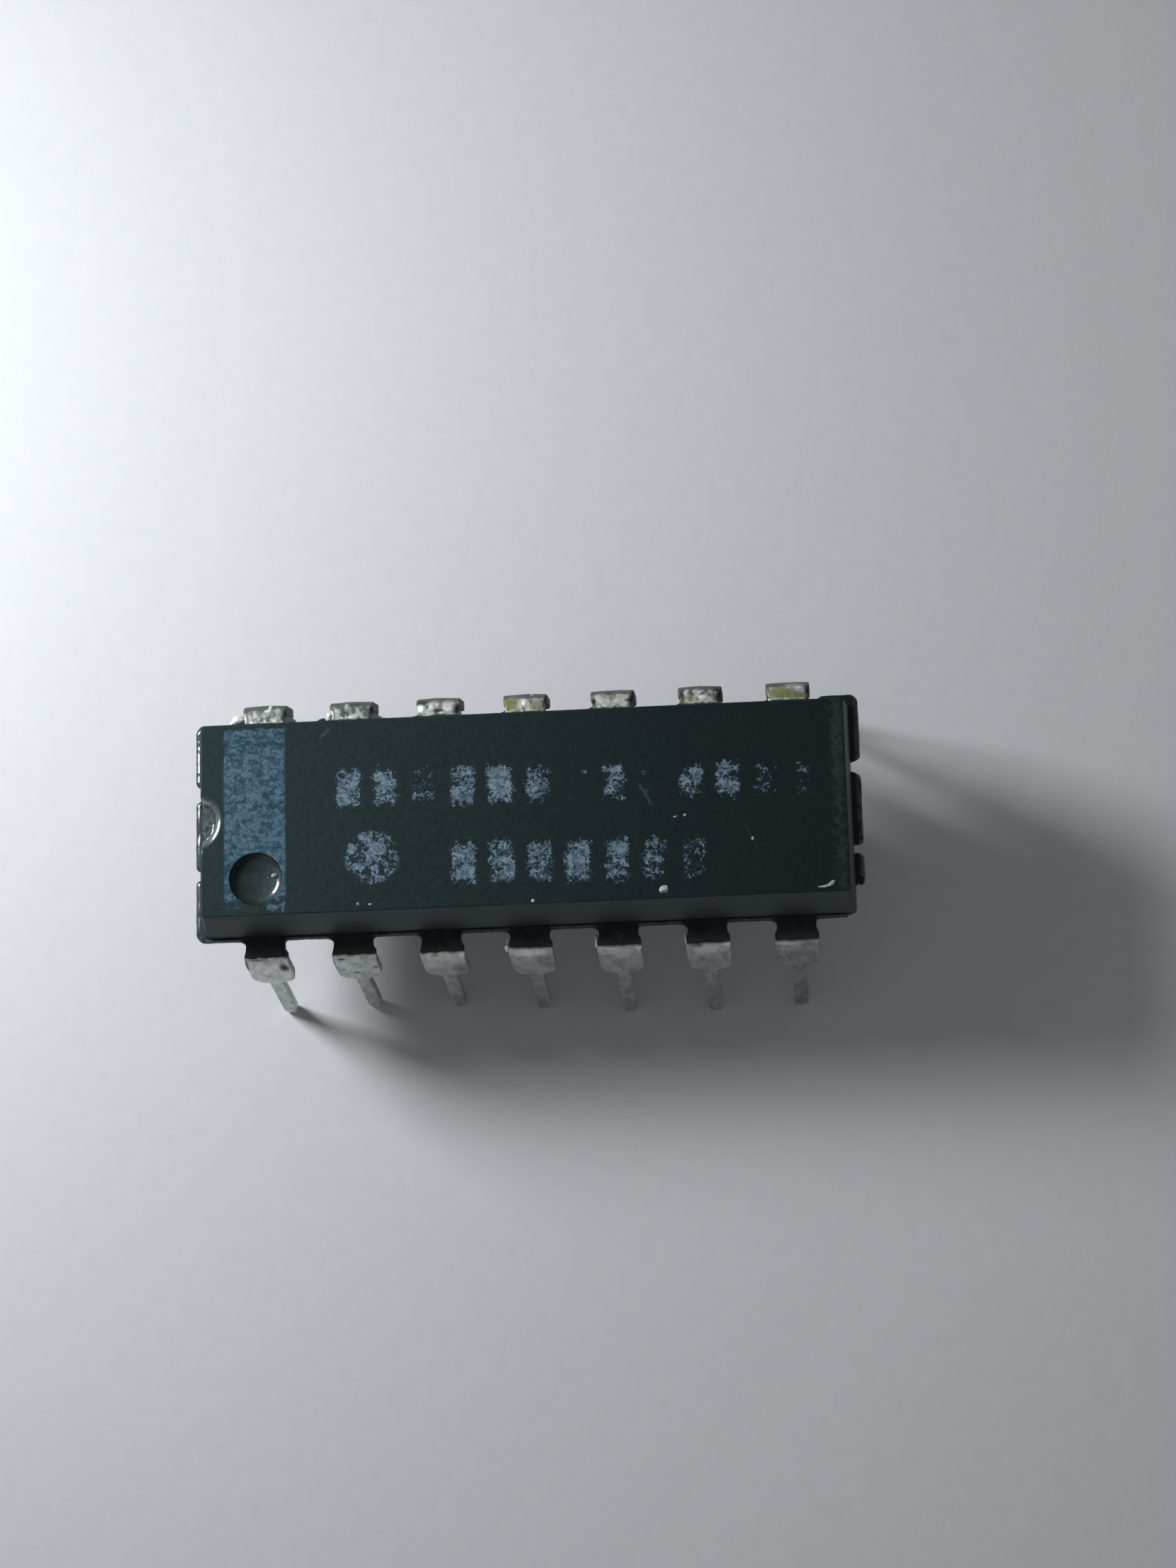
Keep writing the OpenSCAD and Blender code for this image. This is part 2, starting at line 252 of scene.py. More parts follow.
dark_tin = Finish("tin_painted_dark", Specular_IOR_Level=0.35)
cloud = dark_tin.grain(0.3, detail=4, rough=0.65)
speck = dark_tin.grain(0.03, shift=5, detail=2)
scuff = dark_tin.grain(0.02, stretch=(1, 9, 9), shift=9, detail=3).rise(0.62, 0.8) * cloud.rise(0.45, 0.6)
# Painted reflection: the bare strip is painted almost black, as flat metal mirroring a dark ceiling, with
# brownish specks
painted_reflection_and_specks = dark_tin.mix((0.009, 0.012, 0.013), (0.024, 0.029, 0.029), cloud.rise(0.35, 0.7))
painted_reflection_and_specks = dark_tin.mix(painted_reflection_and_specks, (0.035, 0.030, 0.020), speck.rise(0.6, 0.8) * 0.6)
dark_tin.vary(
    Base_Color=dark_tin.mix(painted_reflection_and_specks, (0.20, 0.205, 0.20), scuff * 0.45),
    Metallic=0.25 + scuff * 0.7,
    Roughness=0.62 - scuff * 0.25 - cloud * 0.12,
    Normal=dark_tin.bump(speck, 0.002, under=dark_tin.bump(cloud, 0.006)),
)

PITCH = 2.54
FRAME_TOP, FRAME_UNDER = 5.15, 4.9
HALF_T = (FRAME_TOP - FRAME_UNDER) / 2
WALL_Y, NECK_L, BEND_R = 3.1, 0.27, 0.375  # side wall, straight neck out of it, radius of the bend
BEND_Y, BEND_Z = WALL_Y + NECK_L, FRAME_TOP - HALF_T - BEND_R
LEAD_X = [(place - 3) * PITCH for place in range(7)]


def row_place(n):
    """Place along the row, from the notched end, and side of the body (-1 front, 1 back)."""
    return (n - 1, -1) if n <= 7 else (14 - n, 1)


def lean(n):
    """How far a lead leans out from upright; no two neighbours lean alike."""
    place, side = row_place(n)
    usual, spread = 8, 3
    return math.radians(usual - side * spread * math.sin(math.radians(45 * (place - 3))))


def strip_line(n, s):
    """Distance from the middle plane, height and outward tilt of the strip's core at distance s."""
    tilt, bend = lean(n), BEND_R * (math.pi / 2 - lean(n))
    turn = np.clip(math.pi / 2 - (s - NECK_L) / BEND_R, tilt, math.pi / 2)
    straight = np.maximum(s - NECK_L - bend, 0)
    y = WALL_Y + np.minimum(s, NECK_L) + BEND_R * np.cos(turn) + straight * math.sin(tilt)
    z = BEND_Z + BEND_R * np.sin(turn) - straight * math.cos(tilt)
    return y, z, turn


def strip_place(n, y, z):
    """The reverse: distance s along the core of the strip, and height above it."""
    if y < BEND_Y:
        return y - WALL_Y, z - BEND_Z - BEND_R
    turn = max(math.atan2(z - BEND_Z, y - BEND_Y), lean(n))
    out_y, out_z = math.cos(turn), math.sin(turn)
    above = (y - BEND_Y) * out_y + (z - BEND_Z) * out_z - BEND_R
    past = (y - BEND_Y) * out_z - (z - BEND_Z) * out_y
    return NECK_L + BEND_R * (math.pi / 2 - turn) + past, above


def strip_half_width(s, z):
    """Half the strip's width at distance s and height z: neck, dam-bar stub, shoulder, pin."""
    tip_h, tip, pin, neck, stub, wide = 0.25, 0.12, 0.20, 0.56, 0.65, 0.63
    below = np.interp(z, (0, tip_h, 3.12, 3.20, 3.30, 3.45, 3.65), (tip, pin, pin, 0.40, 0.52, 0.60, wide))
    return np.minimum(below, np.interp(s, (NECK_L, 0.36, 0.56, 0.80), (neck, 0.57, stub, wide)))


# The strip is trimmed a little narrower than the plain node. Its few corners at the shoulder take
# the width from a little lower down, and where solder covers it, it stays sunk under the coat
wetted_from, sunk = {-1: 0.55, 1: 0.14}, 0.015
shoulder_z, lower_down = 3.4, 0.15
for n in lead_numbers:
    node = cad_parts[f"lead_{n}"]
    lead = bpy.data.objects.new(f"bent_lead_{n}", node.data.copy())
    bpy.context.scene.collection.objects.link(lead)
    place, side = row_place(n)
    for vertex in lead.data.vertices:
        u, y, z = vertex.co.x / MM - LEAD_X[place], side * vertex.co.y / MM, vertex.co.z / MM
        if y > WALL_Y + 0.01:
            s, above = strip_place(n, y, z)
            under = sunk * min(max((s - wetted_from[side]) / 0.1, 0), 1)
            most = float(strip_half_width(s, z if z > shoulder_z else z - lower_down)) - under
            core_y, core_z, turn = strip_line(n, s)
            above -= math.copysign(under, above)
            vertex.co = Vector((
                LEAD_X[place] + min(max(u, -most), most),
                side * (core_y + above * math.cos(turn)), max(core_z + above * math.sin(turn), 0),
            )) * MM
    lead.data.shade_smooth()
    lead.data.set_sharp_from_angle(angle=math.radians(24))
    lead.data.materials.clear()
    dark_tin.cover(lead)
    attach(lead, "root")
    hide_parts(f"lead_{n}")

# ------------------------------------------------------------------ Moulded body
# Black epoxy, filled with ground silica and moulded round the frame in two halves that meet at
# its plane. The halves' draft, the end notch, the dimple by lead 1, two ejector marks underneath
# and the flash squeezed out between the leads are all the mould's; the ink is stamped on top.

HALF_L, HALF_W = 9.35, WALL_Y
TOP, UNDER = 6.8, 3.55
END_DRAFT, SIDE_DRAFT = math.radians(5), math.radians(10)
upper_h, lower_h = TOP - FRAME_TOP, FRAME_UNDER - UNDER
half_top_l, half_top_w = HALF_L - upper_h * math.tan(END_DRAFT), HALF_W - upper_h * math.tan(SIDE_DRAFT)
BAR_Y, BAR_HALF = 1.21, 0.125  # the tie bars' distance from the middle plane, and half their width


def wobble(points, size, seed):
    """Smooth noise from -1 to 1 at points in millimetres."""
    return np.array([noise.noise(Vector(p) / size + Vector((seed * 7.3, seed * 3.1, seed))) for p in points])


def outline(half_l, half_w, radius, corner=8, long=340, short=104):
    """Points anticlockwise round a rectangle with rounded corners, and their outward directions."""
    points, outs = [], []
    for quarter, (sx, sy) in enumerate(((1, 1), (-1, 1), (-1, -1), (1, -1))):
        centre = np.array((sx * (half_l - radius), sy * (half_w - radius)))
        for turn in np.radians(90 * (quarter + np.arange(corner + 1) / corner)):
            outs.append(np.array((math.cos(turn), math.sin(turn))))
            points.append(centre + radius * outs[-1])
        steps, half = (short, half_w) if quarter % 2 else (long, half_l)
        onward = np.array((-outs[-1][1], outs[-1][0])) * 2 * (half - radius) / steps
        for _ in range(steps - 1):
            outs.append(outs[-1])
            points.append(points[-1] + onward)
    return np.array(points), np.array(outs)


def loft(rings):
    """Points and faces of a solid through rings of one length, from its first ring to its last."""
    count = len(rings[0])
    faces = [list(range(count))[::-1]]
    for low in range(0, (len(rings) - 1) * count, count):
        for i in range(count):
            j = (i + 1) % count
            faces.append([low + i, low + j, low + count + j, low + count + i])
    faces.append([(len(rings) - 1) * count + i for i in range(count)])
    return np.concatenate(rings), faces


def rough_piece(name, points, faces):
    """A mesh still in millimetres, as it is cut and joined."""
    mesh = bpy.data.meshes.new(name)
    mesh.from_pydata(np.asarray(points, float).tolist(), [], faces)
    shell = bmesh.new()
    shell.from_mesh(mesh)
    bmesh.ops.recalc_face_normals(shell, faces=shell.faces)
    shell.to_mesh(mesh)
    shell.free()
    piece = bpy.data.objects.new(name, mesh)
    bpy.context.scene.collection.objects.link(piece)
    return piece


def work(piece, operation, tools):
    """Joins tools to a piece or cuts them out of it, and uses them up."""
    for tool in tools:
        cut = piece.modifiers.new(operation, "BOOLEAN")
        cut.operation, cut.solver, cut.object = operation, "EXACT", tool
    bpy.context.view_layer.update()
    worked = piece.evaluated_get(bpy.context.evaluated_depsgraph_get())
    mesh = bpy.data.meshes.new_from_object(worked)
    piece.modifiers.clear()
    piece.data = mesh
    for tool in tools:
        bpy.data.objects.remove(tool)


def hand_over(piece, finish, crease=24):
    """Scales a worked piece down to metres, finishes it and fixes it to the part."""
    piece.data.transform(Matrix.Scale(MM, 4))
    piece.data.shade_smooth()
    piece.data.set_sharp_from_angle(angle=math.radians(crease))
    finish.cover(piece)
    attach(piece, "root")


def edge_rings(height, half_l, half_w, corner, radius, up, seed):
    """Rings round a worn edge where the drafted sides meet the top (up = 1) or the underside."""
    points, outs = outline(half_l, half_w, corner)
    flat = np.column_stack([points, np.full(len(points), height)])
    draft = END_DRAFT * outs[:, 0] ** 2 + SIDE_DRAFT * outs[:, 1] ** 2
    chips = np.clip(wobble(flat, 0.45, seed) - 0.42, 0, 1) * 0.16
    worn = radius * (1 + 0.4 * wobble(flat, 0.18, seed + 1)) + chips + 0.004 * wobble(flat, 0.06, seed + 2)
    rings = []
    for share in (0, 0.2, 0.4, 0.6, 0.8, 1):
        turn = draft + (math.pi / 2 - draft) * share
        reach = worn * (np.sin(draft) - 1) / np.cos(draft) + worn * np.cos(turn)
        z = height - up * worn * (1 - np.sin(turn))
        rings.append(np.column_stack([points + outs * reach[:, None], z]))
    inner = rings[-1].copy()
    inner[:, :2] -= outs * 0.05
    return [*rings, inner] if up > 0 else [inner, *rings[::-1]]


mismatch = 0.015  # the lower half of the mould sits a hair inside the upper
rings = edge_rings(
    UNDER, HALF_L - mismatch - lower_h * math.tan(END_DRAFT),
    HALF_W - mismatch - lower_h * math.tan(SIDE_DRAFT), corner=0.16, radius=0.045, up=-1, seed=3,
)
for z, inset in ((FRAME_UNDER + 0.03, mismatch), (FRAME_TOP - 0.03, 0)):
    points = outline(HALF_L - inset, HALF_W - inset, 0.14)[0]
    rings.append(np.column_stack([points, np.full(len(points), z)]))
rings += edge_rings(TOP, half_top_l, half_top_w, corner=0.12, radius=0.032, up=1, seed=4)
body = rough_piece("moulded_body", *loft(rings))

# The flash, one flat sheet as thick as the frame: a lip along the rows with a web of plastic up
# each side of every lead, and a wider ledge at both ends, parted at the tie bars
end_ledge, front_lip, back_lip = 9.63, 3.18, 3.265
lead_edge, hidden, web_end, inside_wall = 0.56, 0.06, 3.37, 3.04
chance = np.random.default_rng(14)


def row_edge(lip):
    """Edge of the flash along one row, left to right with the leads pointing up."""
    points = []
    quarter_turn = np.linspace(0, math.pi / 2, 6)
    for x in LEAD_X:
        webs = []
        for wide, slope in ((chance.uniform(0.20, 0.32), 0.7), (chance.uniform(0.06, 0.14), 1)):
            high = min(wide * slope, web_end - lip)
            across = [*lead_edge + wide * (1 - np.sin(quarter_turn)), lead_edge - hidden, lead_edge - hidden]
            webs.append([*zip(across, [*lip + high * (1 - np.cos(quarter_turn)), lip + high, inside_wall])])
        points += [(x - across, y) for across, y in webs[0]]
        points += [(x + across, y) for across, y in webs[1][::-1]]
    return points


def ease(path, radius):
    """Rounds the corners of a path that turns right at them, and leaves the others sharp."""
    eased = [path[0]]
    for before, corner, after in zip(path, path[1:], path[2:]):
        p, a, b = np.array(corner), np.subtract(before, corner), np.subtract(after, corner)
        turn = math.pi - math.acos(np.dot(a, b) / np.linalg.norm(a) / np.linalg.norm(b))
        if a[0] * b[1] - a[1] * b[0] > 0 and turn > 0.5:
            reach = radius * math.tan(turn / 2)
            start, end = p + a / np.linalg.norm(a) * reach, p + b / np.linalg.norm(b) * reach
            for t in (0, 0.25, 0.5, 0.75, 1):
                eased.append(tuple((1 - t) ** 2 * start + 2 * t * (1 - t) * p + t * t * end))
        else:
            eased.append(corner)
    return [*eased, path[-1]]


def end_edge(back_y, front_y=None, torn=None):
    """Edge of the ledge at one end, from its back corner to its front one, whole or broken away."""
    slot_half, mouth, wall, radius = BAR_HALF + 0.005, 0.26, HALF_L - 0.02, 0.25
    corner = [
        (end_ledge - radius + radius * math.sin(a), back_y - radius + radius * math.cos(a))
        for a in np.linspace(0, math.pi / 2, 8)
    ]
    slots = []
    for bar_y, half in ((BAR_Y, mouth), (-BAR_Y, slot_half)):  # one slot flares open, the other is square
        slots += [(end_ledge, bar_y + half), (wall, bar_y + slot_half)]
        slots += [(wall, bar_y - slot_half), (end_ledge, bar_y - half)]
    edge = corner + ease([corner[-1], *slots, (end_ledge, -2)], radius=0.17)[1:]
    if torn is None:
        return edge + [(x, back_y - front_y - y) for x, y in corner[::-1]]
    edge += [(end_ledge - 0.03, torn), (end_ledge - 0.11, torn - 0.06), (end_ledge - 0.19, torn - 0.02)]
    return edge + [(wall, torn - 0.1), (wall - 0.02, -2.88)]


front = [(x, -y) for x, y in row_edge(front_lip)] + [(9.08, -3.17), (9.1, -inside_wall)]
back = row_edge(back_lip)
# The back lip breaks out further between the first two leads and past the last one
scrap, last_scrap = [(-6.10, 3.27), (-5.98, 3.34), (-5.86, 3.355)], [(8.46, 3.275), (8.58, 3.345)]
back = [p for p in back if p[0] < -6.2] + scrap + [p for p in back if p[0] > -5.8] + last_scrap
right_end, left_end = end_edge(3.35, torn=-2.2), end_edge(3.27, front_y=front_lip)
flash_path = front + right_end[::-1] + back[::-1] + [(-x, y) for x, y in left_end]
flash_edge = []
for (x0, y0), (x1, y1) in zip(flash_path, flash_path[1:] + flash_path[:1]):
    pieces = max(1, round(math.hypot(x1 - x0, y1 - y0) / 0.06))
    flash_edge += [(x0 + (x1 - x0) * i / pieces, y0 + (y1 - y0) * i / pieces) for i in range(pieces)]
flash_edge = np.array(flash_edge)
along = np.roll(flash_edge, -1, 0) - np.roll(flash_edge, 1, 0)
out = np.column_stack([along[:, 1], -along[:, 0]]) / np.linalg.norm(along, axis=1)[:, None]
at_x, at_y = abs(flash_edge).T
free = ((at_y > 3.15) | (at_x > 9.45)).astype(float)
broken = (flash_edge[:, 0] > 0) & (flash_edge[:, 1] < -2)
rolled = np.clip((at_x - 9.5) / 0.08, 0.2, np.where(broken, 0.2, 1))  # the ledge's rim slopes off
spots = np.column_stack([flash_edge, np.zeros(len(flash_edge))])
flash_edge += out * (free * (0.012 * wobble(spots, 0.5, 5) + 0.006 * wobble(spots, 0.11, 6)))[:, None]
rings = []
for z, inset in (  # square below, rounded over above
    (4.905, 0.04), (4.915, 0.015), (4.94, 0), (5.07, 0), (5.096, 0.012), (5.110, 0.028),
    (5.122, 0.051), (5.132, 0.075), (5.140, 0.100), (5.146, 0.125),
):
    ripple = 0.25 * wobble(spots + (0, 0, z), 0.3, 7) + 1
    points = flash_edge - out * (inset * rolled * ripple)[:, None]
    rings.append(np.column_stack([points, np.full(len(points), z)]))
flash = rough_piece("flash", *loft(rings))
work(body, "UNION", [flash])


def lathe(name, centre, profile, turns, roughness, seed):
    """A tool turned from (radius, height) points, lowest first, with a slightly rough face."""
    rings = []
    angles = np.arange(turns) * 2 * math.pi / turns
    across, along = np.cos(angles), np.sin(angles)
    for radius, z in profile:
        ring = np.column_stack([centre[0] + radius * across, centre[1] + radius * along, np.full(turns, z)])
        if abs(z - TOP) > 0.05 and abs(z - UNDER) > 0.05:
            ring[:, 2] += roughness * (wobble(ring, 0.16, seed) + 0.5 * wobble(ring, 0.05, seed + 1))
        rings.append(ring)
    return rough_piece(name, *loft(rings))


def arc(centre_r, centre_z, radius, start, end, count=5):
    """Points round a fillet, angles in degrees from straight out."""
    turns = np.radians(np.linspace(start, end, count))
    return [(centre_r + radius * math.cos(a), centre_z + radius * math.sin(a)) for a in turns]


def turned(end_r, end_z, runs):
    """A profile for the lathe that ends at a point, from (length, first slope, last slope) runs."""
    lengths, slopes = [], []
    for length, first, last in runs:
        count = max(2, round(length / 0.018)) if first != last else 5
        lengths += [length / count] * count
        slopes += list(np.radians(first + (last - first) * (np.arange(count) + 0.5) / count))
    path = np.cumsum([(0, 0)] + [(d * math.cos(a), d * math.sin(a)) for d, a in zip(lengths, slopes)], axis=0)
    return [tuple(point) for point in path + (end_r, end_z) - path[-1]]


# Cut out of it: the end notch, the dimple, two ejector marks and room for the tie bars' ends
notch_at, notch_r, notch_z = (-half_top_l - 0.3, 0), 0.93, 6.3
bowl = turned(notch_r, TOP, [(0.50, 0, 4), (0.15, 5, 75), (0.33, 75, 75), (0.06, 75, 30), (0.15, 28, 4)])
above = [(notch_r + 0.02, TOP + 0.012), (notch_r + 0.02, TOP + 0.4)]
profile = [(0.03, notch_z), *(p for p in bowl if p[0] > 0.05), *above]
notch = lathe("notch", notch_at, profile, turns=96, roughness=0.010, seed=8)
dimple_at, dimple_r = (LEAD_X[0], -1.75), 0.76
bowl = turned(dimple_r, TOP - 0.014, [(0.47, 0, 9), (0.17, 10, 34), (0.13, 36, 86)])
brim = [(0.008, -0.008), (0.02, -0.002), (0.04, 0.006), (0.04, 0.3)]
profile = bowl + [(dimple_r + out, TOP + up) for out, up in brim]
dimple = lathe("dimple", dimple_at, profile, turns=128, roughness=0.0015, seed=11)
ejector_r, ejector_z, fillet = 0.9, UNDER + 0.08, 0.03
brim = [(0.03, -0.2), (0.03, -0.004), (0.008, 0.008), (0, 0.02)]
profile = [(ejector_r + out, UNDER + up) for out, up in brim]
profile += arc(ejector_r - fillet, ejector_z - fillet, fillet, 0, 90, 4)
profile += [(r, ejector_z) for r in (0.7, 0.5, 0.25, 0.04)]
ejectors = [
    lathe("ejector", (x, 0), profile, turns=96, roughness=0.003, seed=13) for x in (-2 * PITCH, 2 * PITCH)
]
bar_ends = []
for end in (-1, 1):
    for bar_y in (-BAR_Y, BAR_Y):
        low_y, high_y = bar_y - BAR_HALF, bar_y + BAR_HALF
        corners = ((9.33, low_y), (9.45, low_y), (9.45, high_y), (9.33, high_y))
        levels = (FRAME_UNDER - 0.005, FRAME_TOP + 0.005)
        box = [np.array([(end * x, y, z) for x, y in corners]) for z in levels]
        bar_ends.append(rough_piece("bar_end", *loft(box)))
work(body, "DIFFERENCE", [notch, dimple, *ejectors, *bar_ends])

epoxy = Finish("black_epoxy", Specular_IOR_Level=0.35, Specular_Tint=(0.60, 0.92, 1, 1), Coat_Roughness=0.14)
upward = epoxy.z.rise(TOP - 0.02, TOP - 0.008)
patch = epoxy.grain(1.5, detail=3, rough=0.6)
mottle = epoxy.grain(0.2, shift=3, detail=3, rough=0.65)
silica = epoxy.grain(0.035, shift=7, detail=1)
plain_top = epoxy.mix((0.0015, 0.0045, 0.0055), (0.0050, 0.0105, 0.0120), mottle.rise(0.3, 0.7))
plain_top = epoxy.mix(plain_top, (0.0080, 0.0100, 0.0100), patch.rise(0.48, 0.75) * 0.6)
painted_falloff_shade = epoxy.x.rise(-3, 7)  # the top is painted darker towards the right-hand end, away from the light: painted shade of the light's fall-off
plain_top = epoxy.mix(plain_top, (0.0006, 0.0022, 0.0026), painted_falloff_shade * 0.85)
plain_side = epoxy.mix((0.0165, 0.0200, 0.0240), (0.0265, 0.0310, 0.0355), mottle.rise(0.3, 0.7))
dusty = epoxy.x.rise(-8.5, -3)
plain_side = epoxy.mix(plain_side, (0.0440, 0.0520, 0.0600), dusty * 0.75)
plain = epoxy.mix(plain_side, plain_top, upward)
plain = epoxy.mix(plain, (0.024, 0.030, 0.032), silica.rise(0.62, 0.80) * 0.5)
parting_z = 5.02
painted_seam_shade = abs(epoxy.z - parting_z).rise(0.24, 0.13)  # painted shade along the flash, and beside it on the walls
plain = epoxy.mix(plain, (0.0030, 0.0035, 0.0040), painted_seam_shade * 0.9)
# A painted highlight: the top of the front lip is painted pale, as if light falls on it from above
front_lip = abs(epoxy.y + 3.155).rise(0.045, 0.02) * epoxy.z.rise(5.10, 5.12)
plain = epoxy.mix(plain, (0.080, 0.095, 0.098), front_lip * mottle.rise(0.30, 0.55) * 0.8)

# The ink lies on the top face only, stamped askew by a degree or so and half worn away
stray = epoxy.node("SeparateColor", inputs={0: epoxy.grain(0.2, shift=11, detail=2, out="Color")})
stray_x, stray_y = (Field(epoxy, channel) - 0.5 for channel in stray.socket.node.outputs[:2])
ink_x, ink_y = epoxy.x + stray_x * 0.16, epoxy.y + stray_y * 0.16
worms = epoxy.grain(0.12, shift=13, detail=2, twist=1.2)
rubbed = epoxy.grain(0.55, stretch=(1.6, 0.7, 1), shift=17, detail=2, rough=0.6)


def inked(across, low, high, soft=0.05):
    """Where a distance lies between two edges."""
    return abs(across - (low + high) / 2).rise((high - low) / 2 + soft * 0.4, (high - low) / 2 - soft * 0.6)


banded = inked(ink_x * 0.3 + epoxy.x * 0.7, -8.53, -6.77, 0.09) * inked(ink_y, -2.62, 2.64)
gap = inked(ink_y + stray_x * 0.4, 2.10, 2.25, 0.12)  # a bare strip near the back end of the band
streaks = epoxy.grain(0.19, stretch=(1.7, 0.8, 1), shift=29, detail=2, twist=0.5)
band_wear = worms * 0.65 + rubbed * 0.80 + streaks * 0.65 - epoxy.y.rise(-2.0, -2.5) * 0.22 - gap * 0.25
front_patch = inked(ink_x, -7.32, -6.80) * inked(ink_y + stray_x * 0.5, -2.70, -2.42, 0.1)
band = banded.most(front_patch) * (band_wear + front_patch * 0.3).rise(0.82, 1.04)
askew = 0.0244
line_y = ink_y + epoxy.x * askew
flecks = epoxy.grain(0.045, shift=31, detail=1)


def remnants(start, step, base, tall, left):
    """A row of worn patches of ink, one for each share of ink left, with nothing legible in it."""
    along, count = (ink_x - start) / step, len(left)
    share = (along / count).steps([((i + 0.5) / count, level) for i, level in enumerate(left)])
    across = abs(along.rest() - 0.5).rise(0.50, 0.22)
    up = abs(line_y - base - tall / 2 + stray_x * 0.5).rise(tall / 2 + 0.05, tall / 2 - 0.40)
    wear = share * 0.5 + across * up * 0.40 + worms * 0.75 + rubbed * 0.55 + flecks * 0.25
    return wear.rise(1.37, 1.53) * across.rise(0, 0.3) * up.rise(0, 0.3) * inked(along, 0, count)


upper = [0.66, 0.66, 0.40, 0.66, 0.76, 0.64, 0.10, 0.64, 0.10, 0.56, 0.60, 0.36, 0.30]
lower = [0.70, 0.70, 0.64, 0.68, 0.62, 0.50, 0.48]
left_over = remnants(-5.50, 1.085, -0.06, 1.50, upper).most(remnants(-2.24, 1.09, -2.36, 1.62, lower))
smears = epoxy.grain(0.27, stretch=(0.8, 1.25, 1), shift=23, detail=1, twist=0.6)
disc_x, disc_y = ink_x + 4.30, line_y + 1.36
disc = (disc_x * disc_x + disc_y * disc_y).rise(0.82 ** 2, 0.72 ** 2)
disc = disc * (worms * 0.7 + smears * 0.7 + rubbed * 0.4).rise(0.84, 0.98)
left_over = left_over.most(disc) * upward
band = band * upward
ink = band.most(left_over)
flakes = epoxy.grain(0.14, shift=19, detail=2, twist=0.8).rise(0.36, 0.66)
blue = epoxy.mix((0.011, 0.036, 0.062), (0.066, 0.132, 0.190), flakes)
grey_blue = epoxy.mix((0.065, 0.105, 0.145), (0.200, 0.275, 0.350), flakes)
blue = epoxy.mix(blue, (0.130, 0.205, 0.275), (streaks * 0.6 + worms * 0.4).rise(0.50, 0.66) * 0.4)
soaked_in = banded * upward * epoxy.y.rise(-2.6, -2.1)
surface = epoxy.mix(plain, (0.010, 0.028, 0.044), soaked_in * 0.8)
surface = epoxy.mix(surface, epoxy.mix(blue, grey_blue, left_over), ink * 0.9)

# Rubbed edges, the scuffed right-hand end and a few scratches
from_side = (half_top_w - abs(epoxy.y)).least(half_top_l - abs(epoxy.x))
edge_rub = from_side.rise(0.06, 0.0) * patch.rise(0.45, 0.70) * mottle.rise(0.3, 0.7)
end_scuff = inked(epoxy.x + stray_x * 0.8, 8.85, 9.12, 0.3) * patch.rise(0.30, 0.55) * (0.4 + mottle * 0.8)


def scratch(x0, y0, x1, y1, half):
    """A scratch from one point to another on the top face."""
    run, climb = x1 - x0, y1 - y0
    length = math.hypot(run, climb)
    dx, dy = ink_x - (x0 + x1) / 2, ink_y - (y0 + y1) / 2
    beside = abs(dx * (-climb / length) + dy * (run / length))
    onward = abs(dx * (run / length) + dy * (climb / length))
    return beside.rise(half, half * 0.3) * onward.rise(length / 2, length / 2 - 0.15)


scratches = scratch(3.31, 0.60, 3.70, -0.14, 0.05).most(scratch(-5.80, 2.25, -5.42, 2.62, 0.07) * 0.8)
scratches = scratches.most(scratch(6.10, -0.40, 6.70, -1.60, 0.02) * 0.4)
rub = (edge_rub * 0.8).most(end_scuff * 0.7).most(scratches * 0.9) * upward
surface = epoxy.mix(surface, (0.070, 0.085, 0.090), rub * 0.5)


def within(centre, radius, floor, brim=0.05):
    """Inside a round hollow in the top face, from just under its brim."""
    away_x, away_y = epoxy.x - centre[0], epoxy.y - centre[1]
    round_it = (away_x * away_x + away_y * away_y).rise((radius + 0.02) ** 2, (radius - 0.02) ** 2)
    return round_it * epoxy.z.rise(TOP - brim * 0.2, TOP - brim) * epoxy.z.rise(floor - 0.1, floor - 0.05)


# Grit in the notch, its floor partly painted paler as a painted highlight of the light on it, and a gloss on
# its wall, on one side of the dimple and along the ledges' rims
end_wall = epoxy.x + half_top_l + (TOP - epoxy.z) * math.tan(END_DRAFT)
clear_of_end = end_wall.rise(0.01, 0.03)
in_notch = within(notch_at, notch_r - 0.01, notch_z) * clear_of_end
in_dimple = within(dimple_at, dimple_r + 0.02, TOP - 0.25)
grit_and_painted_light = epoxy.mix((0.010, 0.014, 0.013), (0.105, 0.120, 0.118), (worms * 0.6 + silica * 0.4).rise(0.42, 0.62))
surface = epoxy.mix(surface, grit_and_painted_light, in_notch * 0.75)
dimple_tone = epoxy.mix((0.0020, 0.0040, 0.0040), (0.0100, 0.0130, 0.0120), rubbed.rise(0.4, 0.65))
surface = epoxy.mix(surface, dimple_tone, in_dimple * 0.9)
notch_wall = within(notch_at, notch_r + 0.07, notch_z, brim=0.008) * clear_of_end
dimple_side = in_dimple * epoxy.x.rise(dimple_at[0] - 0.18, dimple_at[0] + 0.32)
ledge_rim = (abs(epoxy.x) - 9.47).rise(0, 0.04) * epoxy.z.rise(5.06, 5.09)
ledge_rim = ledge_rim * (rubbed * 0.6 + smears * 0.6).rise(0.50, 0.60)
smooth = (notch_wall * 0.9).most(dimple_side * 0.75).most(ledge_rim)
epoxy.vary(
    Base_Color=surface,
    Roughness=0.50 + mottle * 0.08 + ink * 0.06 + rub * 0.08 - in_notch * 0.1,
    Coat_Weight=smooth,
    Normal=epoxy.bump(mottle * 0.7 + silica * 0.3, 0.012),
)
hand_over(body, epoxy)
shading = body.modifiers.new("even_shading", "WEIGHTED_NORMAL")
shading.weight, shading.keep_sharp = 100, True
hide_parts("body")
